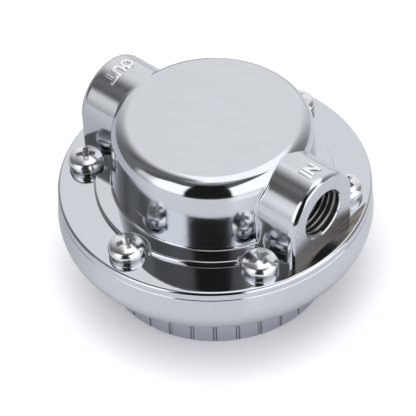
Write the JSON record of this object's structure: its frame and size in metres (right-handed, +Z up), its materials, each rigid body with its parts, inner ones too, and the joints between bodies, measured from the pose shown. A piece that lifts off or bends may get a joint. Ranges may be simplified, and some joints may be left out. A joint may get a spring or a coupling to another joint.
{
  "type": "fuel pressure regulator",
  "caption": "Round chrome dial-type fuel pressure regulator: flanged turret with opposed pipe-threaded ports, rounded lower bowl, fluted dial that sets the outlet pressure through a spring.",
  "frame": {"origin": "centre of the dial's face, at the bottom of the part as it stands", "axes": "+Z up along the axis of the turret and the dial; +X out of the inlet port, -X out of the outlet port"},
  "size_m": [0.077, 0.077, 0.0476],
  "materials": {
    "chrome": "mirror chrome plate on a zinc die casting",
    "plated_steel": "bright nickel-plated steel",
    "satin_casting": "satin-finished die casting",
    "black_rubber": "moulded fuel-proof rubber",
    "zinc_steel": "zinc-plated pressed steel",
    "brass": "turned brass",
    "spring_steel": "drawn spring wire",
    "bare_casting": "bare die casting",
    "dark_spring_steel": "blackened spring steel"
  },
  "bodies": {
    "housing": {"top_housing": "chrome", "lower_housing": "chrome", "cover_screws": "plated_steel", "diaphragm": "black_rubber", "valve_seat": "brass", "seat_ring": "black_rubber", "poppet_spring": "spring_steel", "thrust_washer": "zinc_steel", "detent_washer": "dark_spring_steel", "stop_pin": "spring_steel"},
    "dial": {"dial": "satin_casting", "adjusting_screw": "zinc_steel", "dial_clip": "dark_spring_steel"},
    "spring_seat": {"spring_seat": "bare_casting", "main_spring": "spring_steel"},
    "diaphragm_stack": {"upper_plate": "zinc_steel", "lower_plate": "zinc_steel", "centre_rivet": "zinc_steel", "poppet": "brass", "valve_disc": "black_rubber"}
  },
  "joints": [
    {"name": "dial_turn", "type": "hinge", "parent": "housing", "child": "dial", "pos_m": [0, 0, 0], "axis": [0, 0, 1], "range_deg": [0, 320], "deforming": ["detent_washer"]},
    {"name": "seat_lift", "type": "slide", "parent": "housing", "child": "spring_seat", "axis": [0, 0, 1], "range_m": [0, 0.00245], "deforming": ["main_spring"]},
    {"name": "diaphragm_lift", "type": "slide", "parent": "housing", "child": "diaphragm_stack", "axis": [0, 0, 1], "range_m": [-0.0015, 0], "stiffness_N_per_m": 1500, "springref_m": 0.0073, "deforming": ["diaphragm", "poppet_spring"]}
  ],
  "couplings": [
    {"joint": "seat_lift", "follows": "dial_turn", "m_per_rad": 0.00042971}
  ]
}
